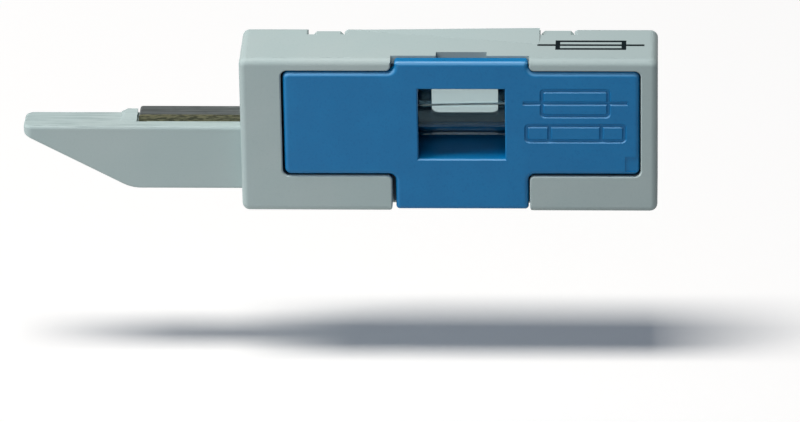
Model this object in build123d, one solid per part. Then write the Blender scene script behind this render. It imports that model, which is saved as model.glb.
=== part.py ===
"""Plug-in fuse holder module, in millimetres.

X runs along the module, and the plug blade points towards -X. Y runs through the thickness: the carrier
faces -Y, where it is drawn out, and the cover closes +Y. Z points up. The origin is the centre of the
housing's bottom face.
"""
import os
from math import atan2, degrees, sqrt

from build123d import *

# Cartridge fuse, 5 mm by 20 mm
fuse_length = 20.0
cap_radius = 2.6
cap_length = 5.5
cap_wall = 0.15
cap_end_thickness = 0.25
tube_radius = 2.43
tube_bore_radius = 1.7
solder_thickness = 0.9
solder_play = 0.05
wire_radius = 0.08
wire_slope_rise = 0.19
wire_play = 0.01
wire_in_solder = 0.5

# Clearances round the fuse
fuse_play = 0.08
jaw_play = 0.03
jaw_from_cap_end = 0.2
fuse_end_play = 0.1

# Carrier: a cross-shaped plate, with a frame behind it that holds the fuse. It sits a little askew
wing_past_fuse = 4.06
wing_above_cap = 1.5
wing_below_cap = 2.12
column_width = 10.53
front_skin = 0.47
plate_thickness = 1.7
head_thickness = 0.85
gap_left = 0.18
gap_right = 0.09
gap_above = 0.13
gap_below = 0.16
column_gap_left = 0.3
column_gap_right = 0.1
head_drop = 0.15
foot_rise = 0.21
plate_corner = 0.5
column_corner = 0.25
inner_corner = 0.55
carrier_edge_radius = 0.36
window_width = 6.89
window_height = 6.06
window_drop = 0.34
window_edge = 0.1
shelf_thickness = 0.6
side_wall_thickness = 1.2
frame_back_gap = 0.15
left_end_proud = 0.08

# Engraving on the carrier, in grooves with a flat floor and slanted sides
engraving_depth = 0.14
engraving_width = 0.18
engraving_bevel = 0.1
symbol_width = 5.42
symbol_height = 2.35
symbol_corner = 0.3
symbol_lead_length = 8.1
symbol_from_right = 5.07
symbol_from_top = 2.61
pictogram_width = 7.9
pictogram_height = 1.5
pictogram_cap = 1.9
pictogram_below_symbol = 1.85
corner_mark_width = 1.15
corner_mark_height = 1.3
corner_mark_rise = 0.3
corner_mark_depth = 0.08

# Housing walls round the carrier and the fuse
left_wall = 3.29
right_wall = 1.32
top_bar = 0.97
bottom_bar = 3.12
back_skin = 0.37
opening_depth = 1.78
head_opening_depth = 0.88
opening_corner = 0.4
opening_edge = 0.1
bar_end_radius = 0.45
ledge_rim = 0.57
corner_radius = 0.6
front_edge_radius = 0.5
back_edge_radius = 0.3

# Tool notch behind the carrier's head
notch_width = 4.0
notch_depth = 1.6

# Stamped contacts
sheet = 0.6
strip_width = 1.63
strip_front_y = -0.33
strip_play = 0.05
bend_radius = 0.55
clip_front_gap = 0.25
clip_back_gap = 0.15
clip_end_gap = 0.3
clip_wall_gap = 0.25
clip_lead_in = 0.2
arm_gap = 0.3
riser_gap = 0.1
arm_root = 0.35

# Channel that takes the lower strip through the housing
channel_front = 2.35
channel_floor = 0.7
channel_headroom = 0.8
channel_end_wall = 1.5
strip_above_floor = 0.5

# Plug blade
blade_length = 17.42
blade_thickness = 3.0
blade_front_y = -1.45
blade_top_below_axis = 1.4
blade_tip_height = 0.79
blade_flat_length = 8.93
blade_heel_radius = 3.0
blade_tip_radius = 0.35
blade_corner_radius = 0.7
blade_edge_radius = 0.22
blade_root = 0.5
strip_reach = 8.25
tail_drop = 0.35
tail_gap = 0.2
tail_radius = 0.25
stop_width = 0.82
stop_ramp = 0.5
stop_height = 0.26
groove_reach = 7.5

# Rear cover and its latch tabs
cover_thickness = 1.2
cover_margin_side = 0.8
cover_margin = 0.7
cover_play = 0.05
cover_corner = 0.5
tab_spans_from_fuse = ((-11.87, -9.49), (6.24, 8.82))
tab_drops = (0.23, 0.15)
tab_chamfer = 0.26
slot_left_gaps = (0.42, 0.09)
slot_right_gaps = (0.08, 0.04)
slot_left_flares = (0.1, 0.05)
slot_right_flares = (0.3, 0.26)
rear_window_width = 5.3
rear_window_height = 4.25
rear_window_shift = 0.09
rear_window_drop = 0.22
rear_window_corner = 0.6
lifted_edge_height = 0.2
lifted_edge_depth = 3.0

# How far a cut runs past the face that it opens, and how far a joined block reaches into its neighbour
past = 0.3

# How near two coordinates are when they mark one place
same_place = 0.001

# Overall sizes, which follow from the fuse, the walls and the clearances
trough_radius = cap_radius + fuse_play
carrier_length = fuse_length + 2 * wing_past_fuse
wing_height = wing_below_cap + 2 * cap_radius + wing_above_cap
housing_length = left_wall + gap_left + carrier_length + gap_right + right_wall
housing_height = bottom_bar + gap_below + wing_height + gap_above + top_bar
housing_thickness = front_skin + 2 * trough_radius + back_skin

# Places that follow from the sizes
front_y = -housing_thickness / 2
back_y = housing_thickness / 2
left_x = -housing_length / 2
right_x = housing_length / 2

opening_left = left_x + left_wall
opening_right = right_x - right_wall
opening_bottom = bottom_bar
opening_top = housing_height - top_bar
opening_y = front_y + opening_depth

wing_left = opening_left + gap_left
wing_right = wing_left + carrier_length
wing_bottom = opening_bottom + gap_below
wing_top = opening_top - gap_above
plate_back_y = front_y + plate_thickness

fuse_centre_x = (wing_left + wing_right) / 2
fuse_axis_z = wing_bottom + wing_below_cap + cap_radius
fuse_axis_y = front_y + front_skin + trough_radius
fuse_left = fuse_centre_x - fuse_length / 2
fuse_right = fuse_centre_x + fuse_length / 2

column_left = fuse_centre_x - column_width / 2
column_right = fuse_centre_x + column_width / 2
column_bottom = foot_rise
column_top = housing_height - head_drop
window_z = fuse_axis_z - window_drop
cover_front_y = back_y - cover_thickness

clip_left_x = fuse_left - clip_end_gap
clip_right_x = fuse_right + clip_end_gap
clip_front_y = plate_back_y + clip_front_gap
clip_back_y = cover_front_y - clip_back_gap
strip_back_y = strip_front_y + strip_width

cavity_left = clip_left_x - sheet - clip_wall_gap
cavity_right = clip_right_x + sheet + clip_wall_gap
cavity_bottom = opening_bottom + ledge_rim
cavity_top = opening_top - ledge_rim

frame_left = fuse_left + cap_length - jaw_from_cap_end - side_wall_thickness
frame_right = fuse_right - cap_length + jaw_from_cap_end + side_wall_thickness
frame_back_y = cover_front_y - frame_back_gap

blade_bottom_z = channel_floor + strip_above_floor
blade_top_z = fuse_axis_z - blade_top_below_axis
blade_back_y = blade_front_y + blade_thickness
blade_tip_x = left_x - blade_length
strip_tip_x = left_x - strip_reach
channel_front_y = front_y + channel_front
channel_top = blade_bottom_z + sheet + channel_headroom


def block(x_span, y_span, z_span):
    """A box between two corners, each span given as (low, high)."""
    centre = [sum(span) / 2 for span in (x_span, y_span, z_span)]
    size = [span[1] - span[0] for span in (x_span, y_span, z_span)]
    return Pos(*centre) * Box(*size)


def through(outline, y_low, y_high):
    """Carry an outline drawn in X and Z through the thickness, from y_low to y_high."""
    return extrude(Plane.XZ.offset(-y_high) * outline, amount=y_high - y_low)


def rectangle(x_low, x_high, z_low, z_high):
    """A rectangle between two corners, drawn in X and Z."""
    centre = Pos((x_low + x_high) / 2, (z_low + z_high) / 2)
    return centre * Rectangle(x_high - x_low, z_high - z_low)


def rounded_rectangle(x_low, x_high, z_low, z_high, radius):
    """A rectangle with round corners, drawn in X and Z."""
    centre = Pos((x_low + x_high) / 2, (z_low + z_high) / 2)
    return centre * RectangleRounded(x_high - x_low, z_high - z_low, radius)


def rod(x_low, x_high, radius):
    """A round bar along X on the fuse's axis."""
    middle = Pos((x_low + x_high) / 2, fuse_axis_y, fuse_axis_z)
    return middle * Rot(0, 90, 0) * Cylinder(radius, x_high - x_low)


def bent_strip(*points):
    """Sheet metal that follows a middle line drawn in X and Z, with a round bend at each corner."""
    return trace(FilletPolyline(*points, radius=bend_radius), line_width=sheet)


def corners_at(outline, x_values, z_values):
    """The corners of an outline at the given places in X and Z."""
    return [
        corner for corner in outline.vertices()
        if any(abs(corner.X - x) < same_place for x in x_values)
        and any(abs(corner.Y - z) < same_place for z in z_values)
    ]


def edges_at(solid, y):
    """The edges that lie in the plane at y."""
    return solid.edges().filter_by_position(Axis.Y, y - same_place, y + same_place)


def cross(wing_x, wing_z, column_x, column_z, wing_radius, end_radius, inner_radius):
    """A wide rectangle crossed by a tall column, with its three kinds of corner rounded."""
    outline = rectangle(*wing_x, *wing_z) + rectangle(*column_x, *column_z)
    outline = fillet(corners_at(outline, wing_x, wing_z), wing_radius)
    outline = fillet(corners_at(outline, column_x, wing_z), inner_radius)
    return fillet(corners_at(outline, column_x, column_z), end_radius)


def tab_spans():
    """The latch tabs' spans along X."""
    return [(fuse_centre_x + low, fuse_centre_x + high) for low, high in tab_spans_from_fuse]


def slot_spans():
    """The spans along X of the slots that the latch tabs stand in."""
    return [
        (low - gap_before, high + gap_after)
        for (low, high), gap_before, gap_after in zip(tab_spans(), slot_left_gaps, slot_right_gaps)
    ]


def slot_outline(span, flares):
    """A slot from the housing's bottom to its top, its two walls flaring out by their own amounts."""
    outline = rectangle(*span, -past, housing_height + past)
    for x, flare in zip(span, flares):
        for z in (0, housing_height):
            outline += Pos(x, z) * Rot(0, 0, 45) * Rectangle(flare * sqrt(2), flare * sqrt(2))
    return outline


def make_blade():
    """The plug blade: a bar with a slanted underside, a round heel and a stop ahead of the upper strip."""
    heel_x = left_x - blade_flat_length
    root_x = left_x + blade_root
    tip_low = blade_top_z - blade_tip_height
    side = make_face(Polyline(
        (blade_tip_x, blade_top_z), (blade_tip_x, tip_low), (heel_x, blade_bottom_z),
        (root_x, blade_bottom_z), (root_x, blade_top_z), close=True,
    ))
    side = fillet(corners_at(side, [heel_x], [blade_bottom_z]), blade_heel_radius)
    side = fillet(corners_at(side, [blade_tip_x], [tip_low]), blade_tip_radius)
    plan = make_face(Polyline(
        (blade_tip_x, blade_front_y), (root_x, blade_front_y), (root_x, blade_back_y),
        (blade_tip_x, blade_back_y), close=True,
    ))
    plan = fillet(corners_at(plan, [blade_tip_x], [blade_front_y, blade_back_y]), blade_corner_radius)
    blade = through(side, blade_front_y, blade_back_y) & extrude(plan, amount=blade_top_z)
    rim = blade.edges().filter_by_position(Axis.X, blade_tip_x, root_x - same_place)
    blade = fillet(rim - rim.filter_by(Axis.Z), blade_edge_radius) + make_stop()

    strip_span = (strip_front_y - strip_play, strip_back_y + strip_play)
    blade -= block((strip_tip_x - tail_gap, strip_tip_x + sheet + strip_play), strip_span,
                   (blade_top_z - tail_drop - strip_play, blade_top_z + stop_height))
    groove_span = (left_x - groove_reach - strip_play, root_x)
    return blade - block(groove_span, strip_span, (blade_bottom_z - past, blade_bottom_z + sheet))


def make_stop():
    """The bump ahead of the upper strip: ramped at its left end, and falling away to the blade's front."""
    stop_x = strip_tip_x - tail_gap
    ramp_x = stop_x - stop_width
    start_x = ramp_x - stop_ramp
    low_z, high_z = blade_top_z - blade_edge_radius, blade_top_z + stop_height
    side = make_face(Polyline(
        (start_x, low_z), (start_x, blade_top_z), (ramp_x, high_z), (stop_x, high_z), (stop_x, low_z),
        close=True,
    ))
    end = make_face(Polyline(
        (strip_front_y, low_z), (strip_front_y, blade_top_z),
        (blade_back_y, high_z), (blade_back_y, low_z), close=True,
    ))
    slope = extrude(Plane.YZ.offset(start_x) * end, amount=stop_x - start_x)
    return through(side, strip_front_y, blade_back_y) & slope


def opening_outline(column_z, grow=0.0):
    """The outline of the carrier's opening, grown all round, with its column between two heights."""
    def widen(low, high):
        return (low - grow, high + grow)

    return cross(
        widen(opening_left, opening_right), widen(opening_bottom, opening_top),
        widen(column_left - column_gap_left, column_right + column_gap_right), column_z,
        plate_corner + grow, opening_corner, opening_corner - grow,
    )


def foot_outline(low_z):
    """The outline of the carrier's foot down to low_z, with the housing's bars rounded off beside it."""
    foot_x = (column_left - column_gap_left, column_right + column_gap_right)
    outline = rectangle(*foot_x, low_z, opening_bottom)
    outline += rectangle(foot_x[0] - bar_end_radius - past, foot_x[1] + bar_end_radius + past, low_z, 0)
    return fillet(corners_at(outline, foot_x, [0]), bar_end_radius)


def make_housing():
    """The grey box with its blade, the carrier's opening, the cavity, the strip channel and cover recess."""
    body = through(
        rounded_rectangle(left_x, right_x, 0, housing_height, corner_radius), front_y, back_y
    )
    body = fillet(edges_at(body, front_y), front_edge_radius)
    body = fillet(edges_at(body, back_y), back_edge_radius)

    low_z, middle_z, high_z = -corner_radius, housing_height / 2, housing_height + corner_radius
    body -= through(opening_outline((middle_z, high_z)), front_y - past, front_y + head_opening_depth)
    body -= through(opening_outline((low_z, middle_z)), front_y - past, front_y + opening_depth)
    body -= through(foot_outline(low_z), front_y - past, front_y + opening_depth)
    body -= loft([Plane.XZ.offset(-front_y) * opening_outline((low_z, high_z), opening_edge),
                  Plane.XZ.offset(-front_y - opening_edge) * opening_outline((low_z, high_z))], ruled=True)
    body -= block(
        (fuse_centre_x - notch_width / 2, fuse_centre_x + notch_width / 2),
        (front_y + head_opening_depth - past, front_y + notch_depth),
        (opening_top - past, housing_height + past),
    )

    open_back = (channel_front_y, cover_front_y + past)
    body -= block((cavity_left, cavity_right), (opening_y - past, cover_front_y + past),
                  (cavity_bottom, cavity_top))
    body -= block((left_x + channel_end_wall, cavity_right), open_back, (channel_floor, channel_top))
    body -= block((clip_right_x - clip_wall_gap, cavity_right), open_back,
                  (channel_floor, cavity_bottom + past))

    recess = rounded_rectangle(left_x + cover_margin_side, right_x - cover_margin_side,
                               cover_margin, housing_height - cover_margin, cover_corner)
    body -= through(recess, cover_front_y, back_y + past)
    for slot, flares in zip(slot_spans(), zip(slot_left_flares, slot_right_flares)):
        body -= through(slot_outline(slot, flares), cover_front_y, back_y + past)

    body += make_blade()
    strip_span = (strip_front_y - strip_play, strip_back_y + strip_play)
    body -= block((left_x - past, cavity_left + past), strip_span,
                  (blade_top_z, blade_top_z + sheet + strip_play))
    body -= block((left_x - past, left_x + channel_end_wall + past), strip_span,
                  (blade_bottom_z - strip_play, blade_bottom_z + sheet))
    return body + make_lifted_edge()


def make_lifted_edge():
    """The corner of the top wall that stands up a little where it springs over a latch tab."""
    left_slot, right_slot = slot_spans()
    low_x, high_x = left_slot[1] + slot_right_flares[0], right_slot[0] - slot_left_flares[1]
    edge_y = back_y - back_edge_radius
    rise = make_face(Polyline(
        (low_x, housing_height), (high_x, housing_height),
        (high_x, housing_height + lifted_edge_height), close=True,
    ))
    start = Vertex(high_x, back_y - lifted_edge_depth, housing_height)
    return loft([Plane.XZ.offset(-edge_y) * rise, start])


def make_rear_cover():
    """The inset back plate, with the fuse's trough, the sight window and latch tabs above and below."""
    low_z, high_z = cover_margin + cover_play, housing_height - cover_margin - cover_play
    cover = through(
        rounded_rectangle(left_x + cover_margin_side + cover_play, right_x - cover_margin_side - cover_play,
                          low_z, high_z, cover_corner),
        cover_front_y, back_y - cover_play,
    )
    for span, drop in zip(tab_spans(), tab_drops):
        tab = rectangle(*span, drop, housing_height - drop)
        cover += through(chamfer(tab.vertices(), tab_chamfer), cover_front_y, back_y - cover_play)
    cover -= rod(fuse_left - fuse_end_play, fuse_right + fuse_end_play, trough_radius)
    window_left = fuse_centre_x + rear_window_shift - rear_window_width / 2
    window_low = fuse_axis_z - rear_window_drop - rear_window_height / 2
    window = rounded_rectangle(window_left, window_left + rear_window_width,
                               window_low, window_low + rear_window_height, rear_window_corner)
    return cover - through(window, cover_front_y - past, back_y + past)


def bevel_openings(plate, x_span, z_span, size):
    """Bevel the edges of what is cut into the plate's front face between two corners."""
    rim = edges_at(plate, front_y).filter_by_position(Axis.X, *x_span).filter_by_position(Axis.Z, *z_span)
    return chamfer(rim, size)


def engrave(plate):
    """Cut bevelled grooves in the right wing: a fuse's circuit symbol, and below it a plain cartridge."""
    half = engraving_width / 2

    def ring(x_low, x_high, z_low, z_high):
        outer = rounded_rectangle(x_low, x_high, z_low, z_high, symbol_corner)
        inner = rounded_rectangle(x_low + engraving_width, x_high - engraving_width,
                                  z_low + engraving_width, z_high - engraving_width,
                                  symbol_corner - half)
        return outer - inner

    centre_x, centre_z = wing_right - symbol_from_right, wing_top - symbol_from_top
    high_z = centre_z + symbol_height / 2
    lead_ends = (centre_x - symbol_lead_length / 2, centre_x + symbol_lead_length / 2)
    grooves = ring(centre_x - symbol_width / 2, centre_x + symbol_width / 2,
                   centre_z - symbol_height / 2, high_z)
    grooves += rectangle(*lead_ends, centre_z - half, centre_z + half)
    low_z = centre_z - pictogram_below_symbol - pictogram_height
    grooves += ring(centre_x - pictogram_width / 2, centre_x + pictogram_width / 2,
                    low_z, low_z + pictogram_height)
    for side in (-1, 1):
        cap_x = centre_x + side * (pictogram_width / 2 - pictogram_cap)
        grooves += rectangle(cap_x - half, cap_x + half, low_z, low_z + pictogram_height)
    plate -= through(grooves, front_y - past, front_y + engraving_depth)
    x_span = (lead_ends[0] - engraving_bevel, lead_ends[1] + engraving_bevel)
    return bevel_openings(plate, x_span, (low_z - engraving_bevel, high_z + engraving_bevel), engraving_bevel)


def make_carrier():
    """The blue drawer: a cross-shaped plate with a frame behind it, whose side walls grip the fuse's caps."""
    outline = cross((wing_left, wing_right), (wing_bottom, wing_top), (column_left, column_right),
                    (column_bottom, column_top), plate_corner, column_corner, inner_corner)
    plate = through(outline, front_y, plate_back_y)
    plate = fillet(edges_at(plate, front_y), carrier_edge_radius)
    plate -= block((column_left - past, column_right + past), (front_y + head_thickness, plate_back_y + past),
                   (wing_top, column_top + past))
    plate -= rod(fuse_left - fuse_end_play, fuse_right + fuse_end_play, trough_radius)

    window_left, window_right = fuse_centre_x - window_width / 2, fuse_centre_x + window_width / 2
    window_bottom, window_top = window_z - window_height / 2, window_z + window_height / 2
    window = rectangle(window_left, window_right, window_bottom, window_top)
    plate -= through(window, front_y - past, plate_back_y + past)
    plate = bevel_openings(plate, (window_left - window_edge, window_right + window_edge),
                           (window_bottom - window_edge, window_top + window_edge), window_edge)

    frame = block((frame_left, frame_right), (plate_back_y - past, frame_back_y),
                  (window_bottom - shelf_thickness, window_top + shelf_thickness))
    frame -= block((frame_left + side_wall_thickness, frame_right - side_wall_thickness),
                   (plate_back_y - 2 * past, frame_back_y + past), (window_bottom, window_top))
    frame -= rod(frame_left - past, frame_right + past, cap_radius + jaw_play)

    mark = block((wing_right - corner_mark_width, wing_right + past),
                 (front_y - past, front_y + corner_mark_depth),
                 (wing_bottom + corner_mark_rise, wing_bottom + corner_mark_rise + corner_mark_height))
    return engrave(plate) + frame - mark


def make_clip(inner_x, arm_tip_x):
    """The U that grips a cap: a plate across the fuse's end, with an arm above the cap and one below."""
    toward_end = 1 if inner_x > arm_tip_x else -1
    plate_x = inner_x + toward_end * sheet / 2
    arm_z = trough_radius + sheet / 2
    outline = bent_strip((arm_tip_x, fuse_axis_z + arm_z), (plate_x, fuse_axis_z + arm_z),
                         (plate_x, fuse_axis_z - arm_z), (arm_tip_x, fuse_axis_z - arm_z))
    clip = through(outline, clip_front_y, clip_back_y)
    mouth = edges_at(clip, clip_front_y).filter_by(Axis.X)
    inner = [edge for edge in mouth if abs(edge.center().Z - fuse_axis_z) < arm_z]
    return chamfer(inner, clip_lead_in), plate_x


def make_upper_contact():
    """One stamped piece: the left clip, and the strip on top of the blade with its turned-down tail."""
    clip, plate_x = make_clip(clip_left_x, frame_left - arm_gap)
    strip_z = blade_top_z + sheet / 2
    beside = (strip_front_y - riser_gap, clip_back_y + past)
    clip -= block((clip_left_x - sheet - past, clip_left_x + arm_root), beside,
                  (strip_z + sheet / 2, fuse_axis_z + trough_radius + sheet + past))
    outline = bent_strip((strip_tip_x, strip_z), (plate_x, strip_z), (plate_x, fuse_axis_z - trough_radius))
    outline += rectangle(strip_tip_x, strip_tip_x + sheet, blade_top_z - tail_drop, strip_z)
    outline = fillet(corners_at(outline, [strip_tip_x], [blade_top_z + sheet]), tail_radius)
    return clip + through(outline, strip_front_y, strip_back_y)


def make_lower_contact():
    """One stamped piece: the right clip, its leg, and the strip that runs under it all to the blade."""
    clip, plate_x = make_clip(clip_right_x, frame_right + arm_gap)
    strip_z = blade_bottom_z + sheet / 2
    arm_top = fuse_axis_z - trough_radius
    beside = (strip_front_y - riser_gap, clip_back_y + past)
    clip -= block((clip_right_x - arm_root, clip_right_x), beside, (arm_top - sheet - past, arm_top + past))
    outline = bent_strip((left_x - groove_reach, strip_z), (plate_x, strip_z), (plate_x, fuse_axis_z))
    return clip + through(outline, strip_front_y, strip_back_y)


def make_cap(end_x, inward):
    """A plated cup over one end of the tube; inward is +1 or -1 along X, towards the fuse's middle."""
    mouth_x = end_x + inward * cap_length
    floor_x = end_x + inward * cap_end_thickness
    cap = rod(min(end_x, mouth_x), max(end_x, mouth_x), cap_radius)
    bore_end = mouth_x + inward * past
    return cap - rod(min(floor_x, bore_end), max(floor_x, bore_end), cap_radius - cap_wall)


def make_tube():
    """The fuse's glass tube, between the floors of its two caps."""
    low_x, high_x = fuse_left + cap_end_thickness, fuse_right - cap_end_thickness
    return rod(low_x, high_x, tube_radius) - rod(low_x - past, high_x + past, tube_bore_radius)


def make_wire(radius):
    """The fuse wire, a straight round bar that slopes up a little from the left cap to the right one."""
    reach = fuse_length / 2 - cap_end_thickness - solder_thickness + wire_in_solder
    low = Vector(fuse_centre_x - reach, fuse_axis_y, fuse_axis_z - wire_slope_rise)
    high = Vector(fuse_centre_x + reach, fuse_axis_y, fuse_axis_z + wire_slope_rise)
    return Plane(origin=low, z_dir=high - low) * Cylinder(
        radius, (high - low).length, align=(Align.CENTER, Align.CENTER, Align.MIN)
    )


def make_solder(end_x, inward):
    """The drop of solder in a cap, which holds the end of the wire."""
    floor_x = end_x + inward * cap_end_thickness
    face_x = floor_x + inward * solder_thickness
    drop = rod(min(floor_x, face_x), max(floor_x, face_x), tube_bore_radius - solder_play)
    return drop - make_wire(wire_radius + wire_play)


def askew(piece):
    """A piece of the drawer, turned about the drawer's right end until its left end stands proud."""
    hinge = Axis((wing_right, front_y, 0), (0, 0, 1))
    return piece.rotate(hinge, degrees(atan2(left_end_proud, carrier_length)))


pieces = {
    "housing": make_housing(),
    "rear_cover": make_rear_cover(),
    "upper_contact": make_upper_contact(),
    "lower_contact": make_lower_contact(),
    "fuse_carrier": askew(make_carrier()),
    "fuse_tube": askew(make_tube()),
    "fuse_cap_left": askew(make_cap(fuse_left, 1)),
    "fuse_cap_right": askew(make_cap(fuse_right, -1)),
    "fuse_wire": askew(make_wire(wire_radius)),
    "solder_left": askew(make_solder(fuse_left, 1)),
    "solder_right": askew(make_solder(fuse_right, -1)),
}

os.makedirs("parts", exist_ok=True)
for name, piece in pieces.items():
    export_step(piece, f"parts/{name}.step")
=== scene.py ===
"""Looks of a plug-in fuse holder module: its finishes, the floor, the lights and the camera.

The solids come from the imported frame, in metres. X runs along the module with the plug blade at -X, the
carrier's face looks along -Y and Z points up. Patterns in the finishes are measured in millimetres.
"""
from math import cos, pi, radians, sin, tan

import bpy
from mathutils import Matrix, Vector


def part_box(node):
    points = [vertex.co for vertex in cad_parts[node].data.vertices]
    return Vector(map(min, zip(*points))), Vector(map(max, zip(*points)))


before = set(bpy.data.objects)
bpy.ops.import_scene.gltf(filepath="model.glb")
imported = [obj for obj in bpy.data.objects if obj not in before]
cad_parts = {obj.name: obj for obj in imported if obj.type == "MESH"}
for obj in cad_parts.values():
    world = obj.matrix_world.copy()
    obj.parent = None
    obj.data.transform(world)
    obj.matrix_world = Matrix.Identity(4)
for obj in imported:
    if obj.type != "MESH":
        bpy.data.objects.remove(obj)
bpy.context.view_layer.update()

MM = 0.001

# Camera, as fitted to the photograph
IMAGE_WIDTH = 800
IMAGE_HEIGHT = 422
CAMERA_TARGET = Vector((0, 0, 6.5 * MM))
CAMERA_DISTANCE = 518.9 * MM
CAMERA_AZIMUTH = radians(2.268)
CAMERA_ELEVATION = radians(24.555)
CAMERA_ROLL = radians(-0.783)
CAMERA_LENS = 293.8
TARGET_PIXEL = (449.9, 121.44)
PIXELS_PER_METRE = 12580

# Floor, whose light thrown back on the module fades from left to right
FLOOR_Z = -13.2 * MM
FLOOR_SIZE = 30.0
FLOOR_WHITE = (1.11, 1.11, 1.11)
FLOOR_HAZE = (0.08, 0.09, 0.11)
FLOOR_LIT = (0.95, 0.95, 0.95)
FLOOR_DIM = (0.35, 0.35, 0.35)
FLOOR_FADE = (-30.0, 25.0)

# Lamps: each leans left and to the front of upright, and its level is what a white card facing it shows
FILL_COLOUR = (0.88, 1.0, 1.16)
FILL_LEVEL = 0.10
LAMP_DISTANCE = 1.0
KEY = {
    "lean": (radians(14.5), radians(6.2)), "size": (0.64, 0.22),
    "level": 0.81, "colour": (1.04, 1.0, 0.945),
}
SIDE = {
    "lean": (radians(50), radians(17)), "size": (0.45, 0.30),
    "level": 0.34, "colour": (0.97, 1.0, 1.03),
}
FRONT = {
    "lean": (radians(25), radians(60)), "size": (0.60, 0.30),
    "level": 0.205, "colour": (0.93, 1.0, 1.07),
}

# Black symbol printed on the housing's top face, in millimetres, with slightly ragged edges
PRINT_CENTRE = (11.22, -0.1)
PRINT_BOX = (5.59, 1.82)
PRINT_LEADS = 8.45
PRINT_BAR = 0.37
PRINT_LINE = 0.34
PRINT_REACH = 0.03
PRINT_RAGGED_SIZE = 0.12
PRINT_RAGGED_REACH = 0.05

# Sizes of the solids that the finishes follow, in millimetres
LIFTED_EDGE = 0.2
COVER_MARGIN = 0.85
BLADE_FADE = 0.2
OPENING_SPAN = (3.12, 12.23)
OPENING_GAP = 0.3
FOOT_SPAN = (0.15, 3.3)
FOOT_WIDTH = 10.5
JOINT_DEPTH = (0.1, 0.45)

# Where painted shade darkens the grey of the top face along X, in millimetres
TOP_PAINTED_SHADE = (-8.0, 18.0)

# Finishes, in linear colour
GREY = (0.425, 0.52, 0.518)
GREY_LIGHT = (0.455, 0.535, 0.53)
# Darker grey for the random speckle, and also for the painted shade on the top face to the right
GREY_SPECKLE_AND_PAINTED_SHADE = (0.36, 0.44, 0.445)
GREY_STREAK = (0.29, 0.37, 0.37)
# Near-black grey of the painted shade inside the carrier's opening
GREY_PAINTED_SHADE = (0.003, 0.035, 0.08)
INK = (0.002, 0.008, 0.010)
BLUE = (0.0, 0.172, 0.42)
BLUE_LIGHT = (0.0, 0.192, 0.455)
BLUE_SHADE = (0.0, 0.120, 0.33)
# Pale blue of the painted highlight on rounded edges
BLUE_PAINTED_HIGHLIGHT = (0.12, 0.35, 0.62)
PLATING = (0.47, 0.50, 0.48)
PLATING_DARK = (0.22, 0.24, 0.23)
CUT_BRASS = (0.28, 0.26, 0.16)
CUT_DARK = (0.06, 0.065, 0.05)
NICKEL = (0.62, 0.60, 0.56)
NICKEL_DULL = (0.40, 0.39, 0.37)
SOLDER_BRIGHT = (0.62, 0.62, 0.63)
SOLDER_DULL = (0.33, 0.33, 0.34)
WIRE_GREY = (0.50, 0.50, 0.48)
WIRE_DULL = (0.26, 0.26, 0.25)
GLASS_TINT = (0.63, 0.715, 0.725)
GLASS_GLOSS = (0.55, 0.85, 1.0)

# Shares of the painted shade that darkens the grey inside the opening and of the painted highlight that
# pales the blue on rounded edges
PAINTED_SHADE_SHARE = 0.92
PAINTED_HIGHLIGHT_SHARE = 0.8

# Gloss of the plastics: the middle of their roughness, how far it varies, and their specular level
GREY_GLOSS = (0.52, 0.25, 0.25)
BLUE_GLOSS = (0.36, 0.20, 0.37)
RUBBED_ROUGHER = 0.1

# Gloss of the metals and the glass
STRIP_ROUGH = 0.36
STRIP_STREAKS_ROUGHER = 0.15
STRIP_CUT_ROUGHER = 0.12
STRIP_METALLIC = 0.9
METAL_ROUGH_SPREAD = 0.2
GLASS_ROUGHEST = 0.03
GLASS_IOR = 1.36

# Depths of the marks in the finishes, in millimetres
GRAIN_DEPTH = 0.004
SINK_DEPTH = 0.03
FLOW_DEPTH = 0.02
INK_DEPTH = 0.006
RUB_DEPTH = 0.001
STREAK_DEPTH = 0.004
SHEAR_DEPTH = 0.03
TEAR_DEPTH = 0.03
DRAW_DEPTH = 0.0015


def maths(operation):
    """A method that adds one Math node, with this number as its first value."""
    def act(self, *others):
        values = dict(enumerate((self, *others)))
        return self.finish.node("ShaderNodeMath", {"operation": operation}, values)
    return act


def reflected(operation):
    """The same with this number as its second value, for a plain number on the left."""
    def act(self, other):
        return self.finish.node("ShaderNodeMath", {"operation": operation}, {0: other, 1: self})
    return act


class Number:
    """A socket whose number or vector varies over a surface. Arithmetic on it adds Math nodes."""

    def __init__(self, finish, socket):
        self.finish = finish
        self.socket = socket

    __add__ = __radd__ = maths("ADD")
    __mul__ = __rmul__ = maths("MULTIPLY")
    __sub__ = maths("SUBTRACT")
    __rsub__ = reflected("SUBTRACT")
    __lt__ = maths("LESS_THAN")
    __gt__ = maths("GREATER_THAN")
    __abs__ = maths("ABSOLUTE")
    most = maths("MAXIMUM")


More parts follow.
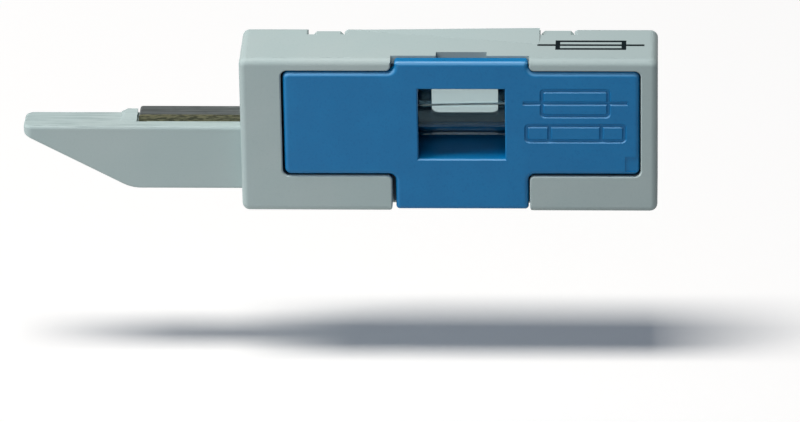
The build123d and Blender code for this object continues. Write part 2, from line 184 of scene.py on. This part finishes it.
class Finish:
    """A material built from expressions. Its places and pattern sizes are in millimetres."""

    def __init__(self, name):
        self.material = bpy.data.materials.new(name)
        self.material.use_nodes = True
        self.tree = self.material.node_tree
        self.tree.nodes.clear()
        where, self.normal = self.node("ShaderNodeTexCoord", outputs=("Object", "Normal"))
        self.place = self.node("ShaderNodeMapping", None, {"Vector": where, "Scale": (1 / MM,) * 3})
        self.x, self.y, self.z = self.split(self.place)

    def node(self, kind, settings=None, inputs=None, outputs=(0,)):
        """Add a node, with its settings first and then its sockets. Returns its output, or several."""
        node = self.tree.nodes.new(kind)
        for key, value in (settings or {}).items():
            setattr(node, key, value)
        for key, value in (inputs or {}).items():
            if isinstance(value, Number):
                self.tree.links.new(value.socket, node.inputs[key])
            else:
                node.inputs[key].default_value = value
        results = [Number(self, node.outputs[key]) for key in outputs]
        return results[0] if len(results) == 1 else results

    def split(self, vector):
        """The three numbers of a vector."""
        return self.node("ShaderNodeSeparateXYZ", None, {0: vector}, (0, 1, 2))

    def noise(self, size, detail=2.0, stretch=(1, 1, 1)):
        """Soft noise about 0.5 with features of a size in millimetres, longer where stretch is over 1."""
        scale = tuple(1 / (size * along) for along in stretch)
        place = self.node("ShaderNodeVectorMath", {"operation": "MULTIPLY"}, {0: self.place, 1: scale})
        return self.node("ShaderNodeTexNoise", None, {"Vector": place, "Scale": 1.0, "Detail": detail})

    def step(self, value, low, high):
        """0 below low and 1 above high, with a smooth rise between them."""
        return self.node("ShaderNodeMapRange", {"interpolation_type": "SMOOTHSTEP"},
                         {"Value": value, "From Min": low, "From Max": high})

    def patch(self, value, low, high, share):
        """0 below low and a share above high, with a smooth rise between them."""
        return self.step(value, low, high) * share

    def mix(self, share, first, second):
        """From the first colour to the second as share goes from 0 to 1."""
        return self.node("ShaderNodeMix", {"data_type": "RGBA"}, {0: share, 6: first, 7: second}, (2,))

    def tint(self, *shares_and_colours, base):
        """A base colour with further colours laid over it, each by its own share."""
        for share, colour in shares_and_colours:
            base = self.mix(share, base if isinstance(base, Number) else (*base, 1), (*colour, 1))
        return base

    def surface(self, height=None, **sockets):
        """End the material in the shader that takes the sockets, with a height in millimetres as bump."""
        inputs = {name.replace("_", " "): value for name, value in sockets.items()}
        if height is not None:
            inputs["Normal"] = self.node("ShaderNodeBump", None, {"Height": height, "Distance": MM})
        shader = self.node("ShaderNodeBsdfPrincipled", None, inputs)
        self.node("ShaderNodeOutputMaterial", None, {"Surface": shader}, ())
        return self.material


def within(value, centre, size):
    """1 where a number lies within half a size of a centre, else 0."""
    return abs(value - centre) < size / 2


def between(value, low, high):
    """1 where a number lies between two others, else 0."""
    return within(value, (low + high) / 2, high - low)


def printed_symbol(finish, top_z):
    """The circuit symbol of a fuse: a rectangle with thick ends and thin sides, crossed by a long line."""
    ragged = (finish.noise(size=PRINT_RAGGED_SIZE) - 0.5) * PRINT_RAGGED_REACH
    x, y = finish.x + ragged, finish.y + ragged
    centre_x, centre_y = PRINT_CENTRE
    width, depth = PRINT_BOX
    outer = within(x, centre_x, width) * within(y, centre_y, depth)
    inner = within(x, centre_x, width - 2 * PRINT_BAR) * within(y, centre_y, depth - 2 * PRINT_LINE)
    line = within(x, centre_x, PRINT_LEADS) * within(y, centre_y, PRINT_LINE)
    return (outer - inner).most(line) * (finish.z > top_z - PRINT_REACH)


def inside(finish):
    """How far inside the carrier's opening a place lies, 0 at the front and back faces and 1 further in,
    as the mask of the painted shade there.
    """
    left, right = (corner.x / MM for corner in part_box("fuse_carrier"))
    front, back = (corner.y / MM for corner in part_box("housing"))
    low, high = OPENING_SPAN
    shallow, deep = JOINT_DEPTH
    wings = (between(finish.x, left - OPENING_GAP, right + OPENING_GAP)
             * between(finish.z, low - OPENING_GAP, high + OPENING_GAP))
    foot = (within(finish.x, (left + right) / 2, FOOT_WIDTH + 2 * OPENING_GAP)
            * between(finish.z, *FOOT_SPAN))
    from_front = finish.step(finish.y, front + shallow, front + deep)
    from_back = 1 - finish.step(finish.y, back - deep, back - shallow)
    return wings.most(foot) * from_front * from_back


def grey_plastic():
    """Light grey moulded plastic, finely eroded, streaked along the blade's top, with the print on top,
    painted shade on the top face to the right and painted shade inside the carrier's opening.
    """
    finish = Finish("grey_plastic")
    top_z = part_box("housing")[1].z / MM - LIFTED_EDGE
    body_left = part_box("rear_cover")[0].x / MM - COVER_MARGIN
    cloud = finish.noise(size=5.0, detail=3.0)
    speckle = finish.noise(size=0.16, detail=3.0)
    flow = finish.noise(size=0.2, detail=3.0, stretch=(16, 1, 1.4))
    facing_up = finish.step(finish.split(finish.normal)[2], low=0.5, high=0.8)
    on_blade = (1 - finish.step(finish.x, body_left - BLADE_FADE, body_left)) * facing_up
    ink = printed_symbol(finish, top_z)
    colour = finish.tint(
        (finish.patch(cloud, low=0.35, high=0.7, share=0.55), GREY_LIGHT),
        (finish.patch(speckle, low=0.5, high=0.75, share=0.22), GREY_SPECKLE_AND_PAINTED_SHADE),
        (finish.patch(flow, low=0.48, high=0.66, share=0.65) * on_blade, GREY_STREAK),
        # Painted shade: the top face darkens to the right
        (finish.patch(finish.x, *TOP_PAINTED_SHADE, share=0.7) * facing_up, GREY_SPECKLE_AND_PAINTED_SHADE),
        (ink, INK),
        # Painted shade: the grey turns near-black inside the carrier's opening
        (inside(finish) * PAINTED_SHADE_SHARE, GREY_PAINTED_SHADE),
        base=GREY,
    )
    grain = finish.noise(size=0.085, detail=2.0)
    sink = finish.noise(size=3.5, detail=1.0)
    height = grain * GRAIN_DEPTH + sink * SINK_DEPTH + flow * on_blade * FLOW_DEPTH + ink * INK_DEPTH
    middle, spread, specular = GREY_GLOSS
    rough = middle + (speckle - 0.5) * spread
    return finish.surface(height, Base_Color=colour, Roughness=rough, Specular_IOR_Level=specular)


def blue_plastic():
    """Saturated blue moulded plastic with the same fine grain, with a painted highlight where its edges
    round off upwards.
    """
    finish = Finish("blue_plastic")
    cloud = finish.noise(size=3.0, detail=3.0)
    speckle = finish.noise(size=0.2, detail=3.0)
    rub = finish.noise(size=0.06, detail=2.0, stretch=(40, 1, 1))
    level, upright = finish.split(finish.normal)[1:]
    # Painted highlight on edges that round off upwards
    highlit_edges = finish.step(upright, low=0.1, high=0.5) * finish.step(abs(level), low=0.15, high=0.5)
    colour = finish.tint(
        (finish.patch(cloud, low=0.38, high=0.68, share=0.6), BLUE_LIGHT),
        (finish.patch(speckle, low=0.5, high=0.75, share=0.3), BLUE_SHADE),
        (highlit_edges * PAINTED_HIGHLIGHT_SHARE, BLUE_PAINTED_HIGHLIGHT),
        base=BLUE,
    )
    grain = finish.noise(size=0.09, detail=2.0)
    sink = finish.noise(size=3.0, detail=1.0)
    scratches = finish.patch(rub, low=0.62, high=0.75, share=RUB_DEPTH)
    height = grain * GRAIN_DEPTH + sink * SINK_DEPTH + scratches
    middle, spread, specular = BLUE_GLOSS
    rubbed = finish.patch(rub, low=0.58, high=0.75, share=RUBBED_ROUGHER)
    rough = middle + (speckle - 0.5) * spread + rubbed
    return finish.surface(height, Base_Color=colour, Roughness=rough, Specular_IOR_Level=specular)


def contact_metal():
    """Rolled strip, dark and streaked along X, whose cut edges show olive brass with torn shear marks."""
    finish = Finish("contact_metal")
    cut = finish.step(abs(finish.split(finish.normal)[1]), low=0.6, high=0.8)
    streak = finish.noise(size=0.13, detail=3.0, stretch=(24, 1, 1))
    stain = finish.noise(size=0.9, detail=3.0)
    shear = finish.noise(size=0.09, detail=3.0, stretch=(6, 1, 1))
    tear = finish.noise(size=0.3, detail=3.0, stretch=(3, 1, 1))
    rolled = finish.tint(
        (finish.patch(streak, low=0.4, high=0.62, share=0.75), PLATING_DARK),
        (finish.patch(stain, low=0.5, high=0.7, share=0.3), PLATING_DARK),
        base=PLATING,
    )
    edge = finish.tint(
        (finish.patch(shear, low=0.42, high=0.62, share=0.7), CUT_DARK),
        (finish.patch(tear, low=0.5, high=0.62, share=0.5), CUT_DARK),
        base=CUT_BRASS,
    )
    height = streak * (1 - cut) * STREAK_DEPTH + (shear * SHEAR_DEPTH + tear * TEAR_DEPTH) * cut
    rough = STRIP_ROUGH + streak * STRIP_STREAKS_ROUGHER + cut * STRIP_CUT_ROUGHER
    return finish.surface(height, Base_Color=finish.mix(cut, rolled, edge), Roughness=rough,
                          Metallic=STRIP_METALLIC)


def metal(name, bright, dull, size, stretch, roughness, depth):
    """A metal whose bright colour is dulled in patches, with marks of a size, stretch and depth."""
    finish = Finish(name)
    cloud = finish.noise(size=0.7, detail=3.0)
    marks = finish.noise(size, detail=2.0, stretch=stretch)
    colour = finish.tint((finish.patch(cloud, low=0.45, high=0.65, share=0.6), dull), base=bright)
    rough = roughness + (cloud - 0.5) * METAL_ROUGH_SPREAD
    return finish.surface(marks * depth, Base_Color=colour, Roughness=rough, Metallic=1.0)


def fuse_glass():
    """Clear drawn tube with faint draw lines along X."""
    finish = Finish("fuse_glass")
    draw = finish.noise(size=0.35, detail=1.0, stretch=(40, 1, 1))
    haze = finish.noise(size=0.8, detail=3.0)
    return finish.surface(
        draw * DRAW_DEPTH, Base_Color=(*GLASS_TINT, 1), Specular_Tint=(*GLASS_GLOSS, 1), IOR=GLASS_IOR,
        Roughness=finish.patch(haze, low=0.5, high=0.8, share=GLASS_ROUGHEST), Transmission_Weight=1.0,
    )


def white_floor():
    """White with a faint blue haze where it is seen, dimmer to the right where it lights the module."""
    finish = Finish("white_floor")
    rays = ("Is Camera Ray", "Is Glossy Ray", "Is Transmission Ray")
    by_eye, by_gloss, by_glass = finish.node("ShaderNodeLightPath", outputs=rays)
    seen = by_eye.most(by_gloss).most(by_glass)
    thrown = finish.tint((finish.step(finish.x, *FLOOR_FADE), FLOOR_DIM), base=FLOOR_LIT)
    return finish.surface(
        Base_Color=finish.tint((seen, FLOOR_WHITE), base=thrown), Roughness=1.0, Specular_IOR_Level=0.0,
        Emission_Color=finish.tint((seen, FLOOR_HAZE), base=(0, 0, 0)), Emission_Strength=1.0,
    )


def dress_nodes():
    """Give every solid its finish."""
    grey, blue, contact = grey_plastic(), blue_plastic(), contact_metal()
    nickel = metal("plated_cap", NICKEL, NICKEL_DULL,
                   size=0.05, stretch=(1, 30, 30), roughness=0.24, depth=0.001)
    solder = metal("solder", SOLDER_BRIGHT, SOLDER_DULL,
                   size=0.4, stretch=(1, 1, 1), roughness=0.35, depth=0.02)
    wire = metal("fuse_wire", WIRE_GREY, WIRE_DULL,
                 size=0.03, stretch=(30, 1, 1), roughness=0.3, depth=0.001)
    finishes = {
        "housing": grey, "rear_cover": grey, "fuse_carrier": blue,
        "upper_contact": contact, "lower_contact": contact, "fuse_tube": fuse_glass(),
        "fuse_cap_left": nickel, "fuse_cap_right": nickel, "fuse_wire": wire,
        "solder_left": solder, "solder_right": solder,
    }
    for name, material in finishes.items():
        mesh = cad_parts[name].data
        mesh.materials.clear()
        mesh.materials.append(material)


def add_floor():
    """A plain white floor below the hovering module, white to the eye, in glass and in gloss alike."""
    half = FLOOR_SIZE / 2
    corners = [(x, y, FLOOR_Z) for x, y in ((-half, -half), (half, -half), (half, half), (-half, half))]
    mesh = bpy.data.meshes.new("floor")
    mesh.from_pydata(corners, [], [(0, 1, 2, 3)])
    mesh.materials.append(white_floor())
    floor = bpy.data.objects.new("floor", mesh)
    bpy.context.collection.objects.link(floor)


def add_lamp(name, lean, size, level, colour):
    """A rectangular soft box aimed at the module."""
    towards = Vector((-tan(lean[0]), -tan(lean[1]), 1)).normalized()
    lamp = bpy.data.lights.new(name, "AREA")
    lamp.shape = "RECTANGLE"
    lamp.size, lamp.size_y = size
    lamp.color = colour
    lamp.energy = level * (pi * LAMP_DISTANCE) ** 2
    soft_box = bpy.data.objects.new(name, lamp)
    across = Vector((0, 1, 0)).cross(towards).normalized()
    turn = Matrix((across, towards.cross(across), towards)).transposed().to_4x4()
    soft_box.matrix_world = Matrix.Translation(towards * LAMP_DISTANCE) @ turn
    bpy.context.collection.objects.link(soft_box)
    return soft_box


def add_light():
    """A soft box overhead that throws the shadow, two that only touch up the module, and an even fill."""
    module = bpy.data.collections.new("module")
    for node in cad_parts.values():
        module.objects.link(node)
    add_lamp("key", **KEY)
    side = add_lamp("side", **SIDE)
    front = add_lamp("front", **FRONT)
    for lamp in (side, front):
        lamp.light_linking.receiver_collection = module
    front.visible_glossy = False
    world = bpy.data.worlds.new("studio")
    world.use_nodes = True
    background = world.node_tree.nodes["Background"]
    background.inputs["Color"].default_value = (*FILL_COLOUR, 1)
    background.inputs["Strength"].default_value = FILL_LEVEL
    bpy.context.scene.world = world


def add_camera():
    """The photograph's camera, aimed so that the target lands on its own pixel, with a slight roll."""
    azimuth, elevation, roll = CAMERA_AZIMUTH, CAMERA_ELEVATION, CAMERA_ROLL
    forward = Vector((-sin(azimuth) * cos(elevation), cos(azimuth) * cos(elevation), -sin(elevation)))
    level = Vector((cos(azimuth), sin(azimuth), 0))
    upright = level.cross(forward)
    across = level * cos(roll) + upright * sin(roll)
    up = upright * cos(roll) - level * sin(roll)
    place = CAMERA_TARGET - forward * CAMERA_DISTANCE
    aim = CAMERA_TARGET + (
        across * (IMAGE_WIDTH / 2 - TARGET_PIXEL[0]) + up * (TARGET_PIXEL[1] - IMAGE_HEIGHT / 2)
    ) / PIXELS_PER_METRE
    forward = (aim - place).normalized()
    across = forward.cross(up).normalized()
    up = across.cross(forward)
    turn = Matrix((across, up, -forward)).transposed().to_4x4()
    data = bpy.data.cameras.new("camera")
    data.lens = CAMERA_LENS
    camera = bpy.data.objects.new("camera", data)
    camera.matrix_world = Matrix.Translation(place) @ turn
    bpy.context.collection.objects.link(camera)
    bpy.context.scene.camera = camera


dress_nodes()
add_floor()
add_light()
add_camera()
bpy.context.scene.view_settings.view_transform = "Standard"
